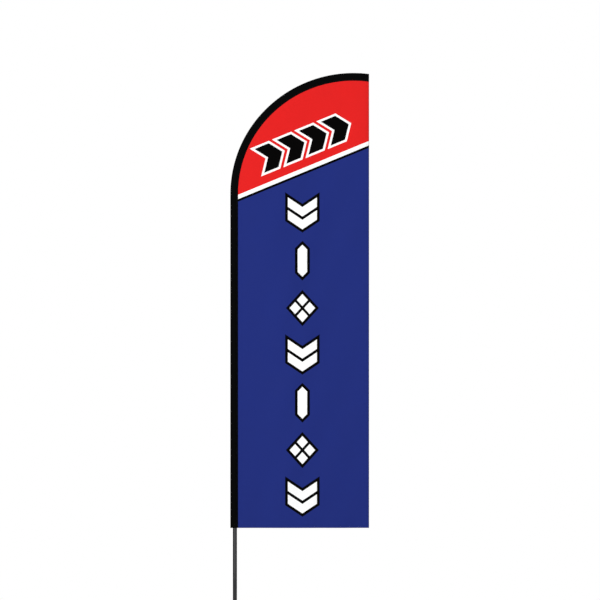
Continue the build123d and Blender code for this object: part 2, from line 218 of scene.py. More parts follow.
def moulded_plastic(name, colour):
    """Moulded nylon: a fine even grain, with slightly duller patches from handling."""
    plastic = Finish(name, {"Specular IOR Level": 0.4})
    handling = plastic.noise(35.0, 4.0)
    plastic.paint(colour, handling, 0.25)
    plastic.roughen(handling, 0.37, 0.55)
    plastic.relief(plastic.noise(1800.0, 2.0), 0.25, 0.0001)


def rubber(name, colour):
    """Black rubber with a matt, slightly dusty skin."""
    skin = Finish(name, {"Specular IOR Level": 0.25})
    dust = skin.noise(60.0, 5.0)
    skin.paint(colour, dust, 0.4)
    skin.roughen(dust, 0.7, 0.9)
    skin.relief(skin.noise(700.0, 3.0), 0.3, 0.0002)


def drawn_metal(name, colour, metallic, roughness, streak=0.12, coat=0.0, rim=1.0):
    """Drawn or brushed metal: fine streaks along Z, small scuffs and a slow change of gloss. rim
    is how bright it is where it turns away."""
    tint = (rim, rim, rim, 1)
    metal = Finish(name, {"Metallic": metallic, "Coat Weight": coat, "Specular Tint": tint})
    streaks = metal.noise(900.0, 3.0, stretch=(1, 1, 0.012))
    scuffs = metal.noise(45.0, 6.0)
    slow = metal.noise(5.0, 2.0)
    metal.paint(colour, metal.math("MULTIPLY", metal.math("ADD", streaks, scuffs), 0.5), streak)
    gloss = metal.math("MULTIPLY", metal.math("ADD", streaks, slow), 0.5)
    metal.roughen(gloss, roughness - 0.07, roughness + 0.09)
    metal.relief(streaks, 0.12, 0.00006)


def turned_metal(name, colour, roughness):
    """Ground and polished steel, with fine rings left by turning."""
    metal = Finish(name, {"Metallic": 1.0})
    smears = metal.noise(150.0, 4.0)
    metal.paint(colour, smears, 0.08)
    metal.roughen(smears, roughness - 0.04, roughness + 0.08)
    metal.relief(metal.noise(2500.0, 2.0, stretch=(0.02, 0.02, 1)), 0.1, 0.00004)


def powder_coat(name, colour):
    """Satin powder coat with a light orange-peel skin."""
    coat = Finish(name, {})
    wear = coat.noise(55.0, 6.0)
    coat.paint(colour, wear, 0.3)
    coat.roughen(wear, 0.36, 0.5)
    coat.relief(coat.noise(420.0, 2.0), 0.35, 0.00025)


def thread(name, colour):
    """Polyester sewing thread, twisted, with a slight gloss."""
    yarn = Finish(name, {"Specular IOR Level": 0.25})
    twist = yarn.noise(2500.0, 2.0)
    yarn.paint(colour, twist, 0.3)
    yarn.roughen(twist, 0.5, 0.7)
    yarn.relief(twist, 0.4, 0.0002)


def studio_surface(name, colour):
    """A matt pale floor, very slightly clouded."""
    surface = Finish(name, {"Roughness": 0.9})
    surface.paint(colour, surface.noise(1.5, 2.0), 0.015)


knitted_cloth("red_print", (0.655, 0.0135, 0.0130))
knitted_cloth("blue_print", (0.0125, 0.0235, 0.166))
knitted_cloth("white_print", (0.86, 0.86, 0.86))
knitted_cloth("black_print", (0.0012, 0.0010, 0.0010), specular=0.02, sheen=0.01)
knitted_cloth("sleeve_cloth", (0.0010, 0.0010, 0.0011), specular=0.03, sheen=0.01, knit=0.0013)
knitted_cloth("webbing", (0.012, 0.012, 0.013), roughness=0.85, specular=0.1, knit=0.0011, relief=0.0003)
thread("black_thread", (0.01, 0.01, 0.011))
drawn_metal("anodised", (0.050, 0.050, 0.052), 1.0, 0.16, streak=0.35, rim=0.02)
drawn_metal("zinc", (0.62, 0.63, 0.64), 1.0, 0.34, streak=0.1)
turned_metal("turned_zinc", (0.60, 0.61, 0.62), 0.30)
drawn_metal("spring_steel", (0.16, 0.16, 0.17), 1.0, 0.4)
turned_metal("bearing_steel", (0.72, 0.73, 0.75), 0.16)
powder_coat("powder_coat", (0.02, 0.02, 0.021))
moulded_plastic("black_nylon", (0.018, 0.018, 0.019))
moulded_plastic("cage_nylon", (0.7, 0.66, 0.55))
drawn_metal("glass_fibre", (0.02, 0.02, 0.022), 0.0, 0.3, coat=0.3)
rubber("rubber", (0.016, 0.016, 0.016))
studio_surface("studio_floor", (0.86, 0.86, 0.86))


# ==== Mesh helpers ====
def add_object(name, data):
    thing = bpy.data.objects.new(name, data)
    bpy.context.scene.collection.objects.link(thing)
    return thing


def new_piece(name, vertices, faces, materials, face_materials=None):
    """A smooth mesh object with these materials, one index to a face if they differ."""
    mesh = bpy.data.meshes.new(name)
    mesh.from_pydata(vertices, [], faces)
    for material in materials:
        mesh.materials.append(looks[material])
    if face_materials is not None:
        mesh.polygons.foreach_set("material_index", face_materials)
    mesh.polygons.foreach_set("use_smooth", [True] * len(mesh.polygons))
    mesh.update()
    return add_object(name, mesh)


def faces_between(ring_count, size, endless=False):
    """Four-sided faces between rings of points. endless joins the last ring to the first."""
    faces = []
    for i in range(ring_count if endless else ring_count - 1):
        above = (i + 1) % ring_count
        for j in range(size):
            k = (j + 1) % size
            faces.append((i * size + j, i * size + k, above * size + k, above * size + j))
    return faces


def tidy(piece, sharp=35):
    """Joins doubled points, turns faces outwards and keeps edges over so many degrees sharp."""
    mesh = bmesh.new()
    mesh.from_mesh(piece.data)
    bmesh.ops.remove_doubles(mesh, verts=mesh.verts, dist=1e-7)
    bmesh.ops.dissolve_degenerate(mesh, dist=1e-7, edges=mesh.edges)
    bmesh.ops.recalc_face_normals(mesh, faces=mesh.faces)
    for edge in mesh.edges:
        if len(edge.link_faces) == 2 and edge.calc_face_angle(0.0) > radians(sharp):
            edge.smooth = False
    mesh.to_mesh(piece.data)
    mesh.free()
    return piece


def loft(name, rings, material, closed_ends=(False, False), sharp=35):
    """A tube through equal rings of points."""
    size = len(rings[0])
    vertices = [point for ring in rings for point in ring]
    faces = faces_between(len(rings), size)
    if closed_ends[0]:
        faces.append(tuple(range(size))[::-1])
    if closed_ends[1]:
        faces.append(tuple(range(len(vertices) - size, len(vertices))))
    return tidy(new_piece(name, vertices, faces, [material]), sharp)


def lathe(name, profile, material, sides):
    """A solid turned about the pole's axis from (radius, height) points."""
    turns = around(sides)
    vertices = [(radius * cos(t), radius * sin(t), height) for radius, height in profile for t in turns]
    faces = faces_between(len(profile), sides, endless=True)
    return tidy(new_piece(name, vertices, faces, [material]))


def thicken(piece, thickness, offset=0.0):
    """Gives a sheet its thickness: about its own surface, or inwards with an offset of -1."""
    modifier = piece.modifiers.new("cloth_thickness", "SOLIDIFY")
    modifier.thickness = thickness
    modifier.offset = offset


def corners_of(outline):
    """Each corner of a closed outline, between the one before and the one after it."""
    corners = [Vector(point) for point in outline]
    return zip(corners[-1:] + corners[:-1], corners, corners[1:] + corners[:1])


def softened(profile, amount):
    """A closed profile with each corner off the axis cut back by an arc of three points."""
    result = []
    for before, corner, after in corners_of(profile):
        reach = min(amount, (before - corner).length * 0.4, (after - corner).length * 0.4)
        if corner.x < 1e-6 or reach < 1e-6:
            result.append(tuple(corner))
            continue
        start = corner + (before - corner).normalized() * reach
        end = corner + (after - corner).normalized() * reach
        middle = (start + end) / 4 + corner / 2
        result.extend([tuple(start), tuple(middle), tuple(end)])
    return result


# ==== Pole and ground spike ====
TUBE_WALL = 0.0015
SMALL_SOFTENING = 0.0004  # of machined edges
SPIKE_POINT_LENGTH = 0.060
SPIKE_TIP_RADIUS = 0.001
SPIGOT_RADIUS = 0.0069
SEAT_RADIUS = 0.006
SEAT_CHAMFER = 0.0005
CLIP_GROOVE_RADIUS = 0.0056
SPINDLE_SHOULDER = 0.008
FLANGE_THICKNESS = 0.005
FLANGE_CHAMFER = 0.0015
STUB_RADIUS = 0.009
STUB_LEAD = 0.006  # the stub's tapered end
HOUSING_WELD = 0.0024  # radius of the bead
PLATE_WELD = 0.0019
PLATE_WELD_OUT = 0.0005  # from the spike's side to the bead's middle
PLATE_WELD_UP = 0.0006  # from the plate's lower face to it


def make_tube(section):
    """A drawn tube with softened ends, in place of the frame's coarser one."""
    node = section + "_pole_tube"
    low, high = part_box(node)
    outer = box_radius(node)
    inner = outer - TUBE_WALL
    profile = softened([(inner, low.z), (outer, low.z), (outer, high.z), (inner, high.z)], SMALL_SOFTENING)
    tube = lathe(node + "_drawn", profile, "anodised", sides=96)
    settle(tube, section + "_pole", node)


def make_spike():
    """The steel spike: a point, a shank, and a thinner spigot that passes through the plate."""
    low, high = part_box("spike_rod")
    radius = box_radius("spike_rod")
    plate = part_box("stop_plate")[0].z
    point = [(0, low.z), (SPIKE_TIP_RADIUS, low.z), (radius, low.z + SPIKE_POINT_LENGTH)]
    spigot = [(radius, plate), (SPIGOT_RADIUS, plate), (SPIGOT_RADIUS, high.z), (0, high.z)]
    spike = lathe("spike_rod_turned", softened(point + spigot, SPIKE_TIP_RADIUS), "zinc", sides=64)
    settle(spike, "ground_spike", "spike_rod")


def make_spindle():
    """The turned spindle: seats for the bearings, a flange that carries the pole, and the stub that
    the pole fits over."""
    low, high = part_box("spindle_shaft")
    clip_low, clip_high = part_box("spindle_circlip")
    seats_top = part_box("upper_bearing_inner_ring")[1].z
    flange_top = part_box("pole_rest_washer")[0].z
    flange_bottom = flange_top - FLANGE_THICKNESS
    flange_radius = box_radius("spindle_shaft")
    end = [(0, low.z), (SEAT_RADIUS - SEAT_CHAMFER, low.z), (SEAT_RADIUS, low.z + SEAT_CHAMFER)]
    groove = [(CLIP_GROOVE_RADIUS, clip_low.z), (CLIP_GROOVE_RADIUS, clip_high.z)]
    seat = [(SEAT_RADIUS, clip_low.z), *groove, (SEAT_RADIUS, clip_high.z), (SEAT_RADIUS, seats_top)]
    shoulder = [(SPINDLE_SHOULDER, seats_top), (SPINDLE_SHOULDER, flange_bottom)]
    rim = [(flange_radius, flange_bottom), (flange_radius, flange_top - FLANGE_CHAMFER)]
    rest = [(flange_radius - FLANGE_CHAMFER, flange_top), (STUB_RADIUS, flange_top)]
    stub = [(STUB_RADIUS, high.z - STUB_LEAD), (STUB_RADIUS - STUB_LEAD / 2, high.z), (0, high.z)]
    profile = softened(end + seat + shoulder + rim + rest + stub, SMALL_SOFTENING)
    spindle = lathe("spindle_turned", profile, "turned_zinc", sides=96)
    settle(spindle, "spindle", "spindle_shaft")


def weld_bead(name, radius, height, size):
    """A fillet weld: a ring of overlapping drops of metal, half sunk in the parts it joins."""
    drops = 44
    steps_per_drop = 4
    sides = 10
    rings = []
    for i, turn in enumerate(around(drops * steps_per_drop)):
        ripple = 0.86 + 0.14 * sin(pi * (i % steps_per_drop) / steps_per_drop)
        reach = size * ripple * (1 + 0.06 * noise_at(i * 0.37, 1.7, 4.1))
        ring = []
        for angle in around(sides):
            out = radius + reach * cos(angle)
            ring.append((out * cos(turn), out * sin(turn), height + reach * sin(angle)))
        rings.append(ring)
    bead = loft(name, rings + rings[:1], "zinc", sharp=180)
    settle(bead, "ground_spike")


def make_pole_and_spike():
    for section in POLE_SECTIONS:
        make_tube(section)
    make_spike()
    make_spindle()
    plate_low, plate_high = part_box("stop_plate")
    under_radius = box_radius("spike_rod") + PLATE_WELD_OUT
    weld_bead("weld_under_plate", under_radius, plate_low.z + PLATE_WELD_UP, PLATE_WELD)
    weld_bead("weld_round_housing", box_radius("bearing_housing"), plate_high.z, HOUSING_WELD)


frame_looks = {
    "zinc": ["stop_plate", "outer_ring_spacer", "inner_ring_spacer"],
    "powder_coat": ["bearing_housing"],
    "bearing_steel": [
        f"{place}_bearing_{part}"
        for place in ("lower", "upper")
        for part in ("outer_ring", "inner_ring", "balls")
    ],
    "cage_nylon": ["lower_bearing_cage", "upper_bearing_cage"],
    "spring_steel": ["housing_retaining_ring", "spindle_circlip"],
    "rubber": ["dust_seal", "pole_rest_washer", "tip_cap"],
    "black_nylon": [
        "lower_pole_foot_bushing",
        "spindle_guide_bushing",
        *(part + "_stop_collar" for part in ("middle_pole", "upper_pole", "tip_rod")),
        *(section + "_pole_top_bushing" for section in POLE_SECTIONS),
    ],
}


def dress_frame():
    """Gives each frame part that stays in view its own finish."""
    for look, nodes in frame_looks.items():
        for node in nodes:
            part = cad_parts[node]
            part.data.materials.clear()
            part.data.materials.append(looks[look])


# ==== Tip rod ====
def rod_point(turn):
    """The rod's axis where it has turned this far from upright."""
    x, z, radius = crown_x, crown_z, rod_crown_radius
    if turn <= rod_bend_turn:
        x, z, radius = rod_bend_radius, ROD_BEND_HEIGHT, rod_bend_radius
    return Vector((x - radius * cos(turn), 0, z + radius * sin(turn)))


def rod_radius_at(turn):
    """The rod tapers from where it starts to bend to its tip."""
    return ROD_BASE_RADIUS + (ROD_TIP_RADIUS - ROD_BASE_RADIUS) * smooth(turn, 0.0, rod_end_turn)


def make_rod():
    """The glass-fibre tip rod: straight in the pole, then bent and tapering to its tip."""
    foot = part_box("tip_rod")[0].z
    sides = 40
    straight_steps = 24
    bend_steps = 120
    stations = [(Vector((0, 0, height)), 0.0) for height in spread(foot, ROD_BEND_HEIGHT, straight_steps)]
    stations += [(rod_point(turn), turn) for turn in spread(0.0, rod_end_turn, bend_steps)[1:]]
    rings = []
    for centre, turn in stations:
        across = Vector((cos(turn), 0, -sin(turn))) * rod_radius_at(turn)
        aside = Vector((0, rod_radius_at(turn), 0))
        rings.append([centre + across * cos(angle) + aside * sin(angle) for angle in around(sides)])
    rod = loft("tip_rod_pultruded", rings, "glass_fibre", closed_ends=(True, True))
    settle(rod, "tip_and_flag", "tip_rod")


# ==== The flag's own coordinates ====
def seam_distance(x, z):
    """How far a place on the flag lies inside the seam with the sleeve."""
    if z <= shoulder_z:
        return x - seam_x
    dx, dz = x - shoulder_x, z - shoulder_z
    if atan2(dz, -dx) <= SHOULDER_TURN:
        return SHOULDER_RADIUS - sleeve_width - hypot(dx, dz)
    return CROWN_RADIUS - sleeve_width - hypot(x - crown_x, z - crown_z)


def crown_turn(x, inset):
    """How far the sleeve has turned from upright where, this far inside its fold, it reaches x."""
    return pi / 2 + asin((x - crown_x) / (CROWN_RADIUS - inset))


def crown_height(x, inset):
    """The height of the sleeve at x, this far inside its fold, and level left of the crown."""
    return crown_z + sqrt((CROWN_RADIUS - inset) ** 2 - max(x - crown_x, 0.0) ** 2)


def edge_runs(inset):
    """Lengths along the sleeve, this far inside its folded edge: up the straight side, round the
    shoulder, and over the crown to the flag's right-hand edge."""
    over_crown = (CROWN_RADIUS - inset) * (crown_turn(flag_right, inset) - SHOULDER_TURN)
    return [shoulder_z - flag_bottom, (SHOULDER_RADIUS - inset) * SHOULDER_TURN, over_crown]


PATH_STEPS = [round(run / STATION_SPACING) for run in edge_runs(0.0)]


def arc(middle_x, middle_z, radius, turns):
    """Places round a middle, from its left: (x, z, turn)."""
    return [(middle_x - radius * cos(turn), middle_z + radius * sin(turn), turn) for turn in turns]


def edge_path(inset, steps=PATH_STEPS):
    """Points along the sleeve, this far inside its folded edge, from its foot to the flag's
    right-hand edge: (x, z, turn from upright). steps holds the steps for each of its runs."""
    shoulder_turns = spread(0.0, SHOULDER_TURN, steps[1])[:-1]
    crown_turns = spread(SHOULDER_TURN, crown_turn(flag_right, inset), steps[2])
    path = [(fold_x + inset, z, 0.0) for z in spread(flag_bottom, shoulder_z, steps[0])[:-1]]
    path += arc(shoulder_x, shoulder_z, SHOULDER_RADIUS - inset, shoulder_turns)
    return path + arc(crown_x, crown_z, CROWN_RADIUS - inset, crown_turns)


# Heights of the panel's ripples, out of its plane
SLOW_RIPPLE = 0.0075
DIAGONAL_RIPPLE = 0.0022
FOOT_RIPPLE = 0.0045
UNEVEN_RIPPLE = 0.0016
FREE_WIDTH = 0.35  # from the seam to where the ripples have grown to their full height

# Puckers along the sewn edges: their height and their spacing
SEAM_PUCKER = (0.0007, 0.047)
SIDE_PUCKER = (0.0006, 0.053)
FOOT_PUCKER = (0.0006, 0.049)
SEAM_ZONE = (0.01, 0.09)  # from the seam: where its puckers start and end dying out
HEM_ZONE = (0.015, 0.07)  # the same from the flag's side and foot


def pucker(size, along, wander, drift):
    """Small waves along a sewn edge. wander and drift make their spacing uneven."""
    height, spacing = size
    return height * sin(2 * pi * along / spacing + wander * drift)


def drape(x, z):
    """How far the cloth stands back (+Y) at this place: slack ripples that grow away from the
    seam, and small puckers along the sewn edges."""
    inside = max(seam_distance(x, z), 0.0)
    across = (x - seam_x) / (flag_right - seam_x)
    up = (z - flag_bottom) / (flag_top - flag_bottom)
    wander = noise_at(x * 1.3, 3.1, z * 0.8)
    ripples = SLOW_RIPPLE * sin(2 * pi * (1.15 * across + 0.55 * up) + 1.1 + 1.3 * wander)
    ripples += DIAGONAL_RIPPLE * sin(2 * pi * (3.2 * across - 4.6 * up) + 2.2 * wander)
    ripples += FOOT_RIPPLE * (1 - up) ** 3 * sin(2 * pi * 2.1 * across + 0.6 + wander)
    ripples += UNEVEN_RIPPLE * noise_at(x * 7.0, 8.3, z * 3.0)
    along = z if z < shoulder_z else shoulder_z + 0.8 * atan2(z - shoulder_z, shoulder_x - x)
    near_seam = smooth(inside, 0.0, SEAM_ZONE[0]) * (1 - smooth(inside, *SEAM_ZONE))
    near_side = 1 - smooth(flag_right - x, *HEM_ZONE)
    near_foot = 1 - smooth(z - flag_bottom, *HEM_ZONE)
    hems = near_side * pucker(SIDE_PUCKER, z, 5, noise_at(z * 5, 9.5, 1.0))
    hems += near_foot * pucker(FOOT_PUCKER, x, 5, noise_at(x * 5, 2.5, 7.0))
    seam = near_seam * pucker(SEAM_PUCKER, along, 4, noise_at(along * 6, 0.5, 2.0))
    return smooth(inside, 0.0, FREE_WIDTH) * ripples + seam + smooth(inside, 0.0, 0.03) * hems


# ==== The print ====
INKS = ["red_print", "white_print", "black_print", "blue_print"]  # the plain fields, from the top

STRIPE_ANGLE = radians(22.35)
STRIPE_FOOT = 2.7968  # height of the white stripe's upper edge at the seam
WHITE_STRIPE = 0.0286  # measured up the flag
BLACK_STRIPE = 0.0165

SIGN_X = 0.445  # the column of white signs
SIGN_TOP = 2.780
SIGN_PITCH = 0.3122
SIGN_WIDTH = 0.1915
SIGN_HEIGHT = 0.211
SIGN_STROKE = 0.0625
SIGN_OUTLINE = 0.018
SIGN_GAP = 0.022  # between the parts of one sign
QUARTER_SIZE = 0.76  # of each quarter of the diamond, so that they stand apart

ARROW_COUNT = 4  # the row of black arrows that climbs along the stripe
ARROW_MIDDLE = (0.456, 3.141)
ARROW_PITCH = 0.158
ARROW_BODY = 0.102
ARROW_POINT = 0.062
ARROW_HEIGHT = 0.170
ARROW_OUTLINE = 0.014


def sides_of(outline):
    """Each side of a closed outline, as a pair of places."""
    return list(zip(outline, outline[1:] + outline[:1]))


def offset_outline(outline, amount):
    """A closed outline of straight sides, anticlockwise, moved outwards by this much."""
    result = []
    for before, corner, after in corners_of(outline):
        first = (corner - before).normalized()
        second = (after - corner).normalized()
        first_out = Vector((first.y, -first.x))
        second_out = Vector((second.y, -second.x))
        middle = (first_out + second_out).normalized()
        result.append(tuple(corner + middle * amount / middle.dot(first_out)))
    return result


def mirrored(x, right_half):
    """A closed outline, anticlockwise from its foot, that is the same on both sides of x. Its right
    half holds (distance from x, height)."""
    left_half = right_half[-2:0:-1]
    return [(x + across, z) for across, z in right_half] + [(x - across, z) for across, z in left_half]


def chevrons(x, z):
    """Two thick chevrons, one above the other, both pointing down."""
    wide = SIGN_WIDTH / 2
    top = z + SIGN_HEIGHT / 2
    drop = SIGN_HEIGHT - 2 * SIGN_STROKE - SIGN_GAP
    outlines = []
    for level in (top, top - SIGN_STROKE - SIGN_GAP):
        foot = level - drop - SIGN_STROKE
        corners = [(0, foot), (wide, level - SIGN_STROKE), (wide, level), (0, level - drop)]
        outlines.append(mirrored(x, corners))
    return outlines


def crystal(x, z):
    """A narrow bar with a point at each end."""
    wide, tall = SIGN_STROKE / 2, SIGN_HEIGHT / 2
    shoulder = tall - wide
    return [mirrored(x, [(0, z - tall), (wide, z - shoulder), (wide, z + shoulder), (0, z + tall)])]


def quartered_diamond(x, z):
    """A diamond cut into four smaller ones."""
    half_width, half_height = SIGN_WIDTH / 4, SIGN_HEIGHT / 4
    wide, tall = half_width * QUARTER_SIZE, half_height * QUARTER_SIZE
    outlines = []
    for across, up in ((0, -1), (1, 0), (0, 1), (-1, 0)):
        middle = z + up * half_height
        corners = [(0, middle - tall), (wide, middle), (0, middle + tall)]
        outlines.append(mirrored(x + across * half_width, corners))
    return outlines


def arrow(along):
    """One arrow of the climbing row, this far along it from the row's middle."""
    half = ARROW_HEIGHT / 2
    left = along - (ARROW_BODY + ARROW_POINT) / 2
    right = left + ARROW_BODY
    head = [(left, -half), (right, -half), (right + ARROW_POINT, 0)]
    outline = head + [(right, half), (left, half), (left + ARROW_POINT, 0)]
    lean, rise = cos(STRIPE_ANGLE), sin(STRIPE_ANGLE)
    middle_x, middle_z = ARROW_MIDDLE
    return [(middle_x + a * lean - b * rise, middle_z + a * rise + b * lean) for a, b in outline]


def edged(outlines, ink, edge_ink, width):
    """Outlines in one ink, each with an edge of this width in another, which is printed first."""
    edges = [(edge_ink, offset_outline(outline, width)) for outline in outlines]
    return edges + [(ink, outline) for outline in outlines]


def printed_shapes():
    """The print over the plain fields, first printed first: (ink, outline)."""
    shapes = []
    for i, sign in enumerate((chevrons, crystal, quartered_diamond) * 2 + (chevrons,)):
        outlines = sign(SIGN_X, SIGN_TOP - SIGN_HEIGHT / 2 - i * SIGN_PITCH)
        shapes += edged(outlines, "white_print", "black_print", SIGN_OUTLINE)
    arrows = [arrow((i - (ARROW_COUNT - 1) / 2) * ARROW_PITCH) for i in range(ARROW_COUNT)]
    return shapes + edged(arrows, "black_print", "white_print", ARROW_OUTLINE)


def stripe_edges(x):
    """Heights at which the plain fields change, from the top down."""
    top = STRIPE_FOOT + tan(STRIPE_ANGLE) * (x - seam_x)
    return top, top - WHITE_STRIPE, top - WHITE_STRIPE - BLACK_STRIPE


def is_inside(outline, x, z):
    """Whether a line to the right from this place crosses the outline an odd number of times."""
    crossings = 0
    for (ax, az), (bx, bz) in sides_of(outline):
        if (az > z) != (bz > z) and x < bx + (z - bz) * (ax - bx) / (az - bz):
            crossings += 1
    return crossings % 2 == 1


shapes = printed_shapes()


def ink_at(x, z):
    """The ink at a place on the flag, as its number in INKS."""
    for ink, outline in reversed(shapes):
        if is_inside(outline, x, z):
            return INKS.index(ink)
    return sum(z <= edge for edge in stripe_edges(x))


# ==== The flag's cloth ====
SEAM_ALLOWANCE = 0.008  # cloth of the panel inside the sleeve
LINE_CLEARANCE = 0.3 * GRID_SPACING  # from the mesh's own grid to a line that it follows
PRINT_BLEED = 0.001  # from the flag's edge to where the stripes' lines end


def panel_outline():
    """The panel's cut edge, anticlockwise from its lower right corner, seam allowance included."""
    inset = sleeve_width - SEAM_ALLOWANCE
    curved = [(x, z) for x, z, turn in edge_path(inset) if turn > 0]
    left = fold_x + inset
    return [(flag_right, flag_bottom)] + curved[::-1] + [(left, shoulder_z), (left, flag_bottom)]


def print_lines():
    """Every straight edge between two inks, as pairs of places."""
    left, right = fold_x, flag_right + PRINT_BLEED
    lines = [((left, low), (right, high)) for low, high in zip(stripe_edges(left), stripe_edges(right))]
    for ink, outline in shapes:
        lines.extend(sides_of(outline))
    return lines


def near_line(x, z, lines, gap):
    """Whether a place is closer than this to any of the lines."""
    for (ax, az), (bx, bz) in lines:
        beside = min(ax, bx) - gap <= x <= max(ax, bx) + gap
        if beside and min(az, bz) - gap <= z <= max(az, bz) + gap:
            area = abs((x - ax) * (bz - az) - (z - az) * (bx - ax))
            if area / hypot(bx - ax, bz - az) < gap:
                return True
    return False


def split_line(start, end, spacing):
    """Places along a line, so that it bends with the cloth."""
    steps = max(1, round(hypot(end[0] - start[0], end[1] - start[1]) / spacing))
    return list(zip(spread(start[0], end[0], steps), spread(start[1], end[1], steps)))


def flag_mesh_plan():
    """The panel laid flat: (places, triangles), with an edge of the mesh along every edge of the
    print."""
    places = []
    edges = []
    lines = print_lines()
    hem_lines = [
        ((flag_right - HEM_WIDTH, flag_bottom), (flag_right - HEM_WIDTH, flag_top)),
        ((fold_x, flag_bottom + HEM_WIDTH), (flag_right, flag_bottom + HEM_WIDTH)),
    ]
    closely_spaced = sides_of(panel_outline()) + hem_lines
    for group, spacing in ((closely_spaced, EDGE_SPACING), (lines, GRID_SPACING)):
        for start, end in group:
            points = split_line(start, end, spacing)
            edges.extend((len(places) + i, len(places) + i + 1) for i in range(len(points) - 1))
            places.extend(points)
    lines += hem_lines
    for row in range(int((flag_top - flag_bottom) / GRID_SPACING) + 1):
        z = flag_bottom + (row + 0.5) * GRID_SPACING
        for column in range(int((flag_right - fold_x) / GRID_SPACING) + 1):
            x = fold_x + (column + 0.5 * (row % 2)) * GRID_SPACING
            inside_cut = seam_distance(x, z) + SEAM_ALLOWANCE
            if min(inside_cut, flag_right - x) <= LINE_CLEARANCE:
                continue
            if not near_line(x, z, lines, LINE_CLEARANCE):
                places.append((x, z))
    flat = delaunay_2d_cdt([Vector(place) for place in places], edges, [], 0, 1e-6)
    return flat[0], flat[2]


def make_flag_cloth():
    """The printed panel: one sheet, draped, with each field and sign in its own ink."""
    places, triangles = flag_mesh_plan()
    limit = flag_right + 1e-5
    kept = []
    inks = []
    for triangle in triangles:
        x = sum(places[i].x for i in triangle) / 3
        z = sum(places[i].y for i in triangle) / 3
        if all(places[i].x <= limit for i in triangle) and seam_distance(x, z) > -SEAM_ALLOWANCE:
            kept.append(triangle)
            inks.append(ink_at(x, z))
    used = sorted({i for triangle in kept for i in triangle})
    renumber = {old: new for new, old in enumerate(used)}
    vertices = [(places[i].x, drape(places[i].x, places[i].y), places[i].y) for i in used]
    faces = [tuple(renumber[i] for i in triangle) for triangle in kept]
    cloth = new_piece("flag_cloth", vertices, faces, INKS, inks)
    thicken(cloth, CLOTH_THICKNESS)
    return settle(cloth, "tip_and_flag", "flag_panel")


# ==== Hems ====
HEM_LAYERS = 0.0011  # two folded layers
HEM_PLAY = 0.0002  # between the panel and the hem


def hem_section():
    """A hem's cross-section, with round edges: (distance in from the flag's edge, distance back
    from the panel's middle)."""
    half = HEM_LAYERS / 2
    middle = CLOTH_THICKNESS / 2 + HEM_PLAY + half
    round_steps = 5
    angles = spread(0.0, pi, round_steps)
    inner_edge = [(HEM_WIDTH - half + half * sin(a), middle - half * cos(a)) for a in angles]
    return inner_edge + [(half - half * sin(a), middle + half * cos(a)) for a in angles]


def hem_strip(name, node, places, inward):
    """A folded hem lying flat against the panel's back. inward is the direction into the flag
    from each place on its edge."""
    section = hem_section()
    size = len(section)
    vertices = []
    inks = []
    for x, z in places:
        for depth, back in section:
            px = x + inward[0] * depth
            pz = min(z + inward[1] * depth, crown_height(px, sleeve_width))
            vertices.append((px, drape(px, pz) + back, pz))
        middle = HEM_WIDTH / 2
        inks.append(ink_at(x + inward[0] * middle, z + inward[1] * middle))
    faces = faces_between(len(places), size)
    faces += [tuple(range(size)), tuple(range(len(vertices) - size, len(vertices)))]
    face_inks = [ink for ink in inks[:-1] for side in range(size)] + [inks[0], inks[-1]]
    strip = tidy(new_piece(name, vertices, faces, INKS, face_inks), sharp=60)
    return settle(strip, "tip_and_flag", node)


def make_hems():
    side_foot = flag_bottom + HEM_WIDTH
    side_top = crown_height(flag_right - HEM_WIDTH, sleeve_width)
    side = [(flag_right, z) for z in spaced(side_foot, side_top, EDGE_SPACING)]
    foot = [(x, flag_bottom) for x in spaced(seam_x, flag_right, EDGE_SPACING)]
    return [
        hem_strip("side_hem_fold", "side_hem", side, (-1, 0)),
        hem_strip("bottom_hem_fold", "bottom_hem", foot, (0, 1)),
    ]


# ==== Sleeve ====
SLEEVE_COLUMNS = 22
EDGE_GAP = 0.0009  # half the sleeve's depth at its fold and its seam
WRINKLE_HEIGHT = 0.0016
SLEEVE_PLAY = 0.0004  # between the sleeve and what it holds
LINING_PLAY = 0.0001  # between the sleeve and what lines it
LINING_EDGE = 0.0002  # the least half depth of a lining
LINER_THICKNESS = 0.0008
LINER_ROOM = LINER_THICKNESS + 0.0003
LINER_END_GAP = 0.012  # from the liner's end to the flag's right-hand edge
BINDING_THICKNESS = 0.0009
BINDING_ROOM = BINDING_THICKNESS + 0.0006
BINDING_RISE = 0.002  # from the sleeve's edge to its binding
BINDING_STEPS = 9
TUBE_STEP = (0.012, 0.085)  # above a tube's top: where the sleeve starts and ends drawing in
CAP_STEP = (-0.030, -0.003)  # from the cap's inner end: where it widens
LINER_STEP = (-0.015, -0.001)  # from the liner's inner end: where it widens again
MOUTH_STEP = 0.025  # above the binding
END_STEP = (0.003, 0.016)  # from the flag's right-hand edge: where the sewn end opens
tube_tops = [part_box(section + "_pole_top_bushing")[1].z for section in POLE_SECTIONS]
tube_radii = [box_radius(section + "_pole_tube") for section in POLE_SECTIONS]
cap_radius = box_radius("tip_cap")


def rod_inset(turn):
    """How far the rod's axis lies inside the folded edge, where the edge has turned this far."""
    if turn > rod_bend_turn:
        return ROD_CROWN_INSET
    if turn <= SHOULDER_TURN:
        centre, reach = Vector((shoulder_x, shoulder_z)), SHOULDER_RADIUS
    else:
        centre, reach = Vector((crown_x, crown_z)), CROWN_RADIUS
    to_pole = centre.x / cos(turn)
    if centre.y + to_pole * sin(turn) < ROD_BEND_HEIGHT:
        return reach - to_pole
    offset = centre - Vector((rod_bend_radius, ROD_BEND_HEIGHT))
    along = offset.dot(Vector((-cos(turn), sin(turn))))
    return reach + along - sqrt(along**2 - offset.length_squared + rod_bend_radius**2)


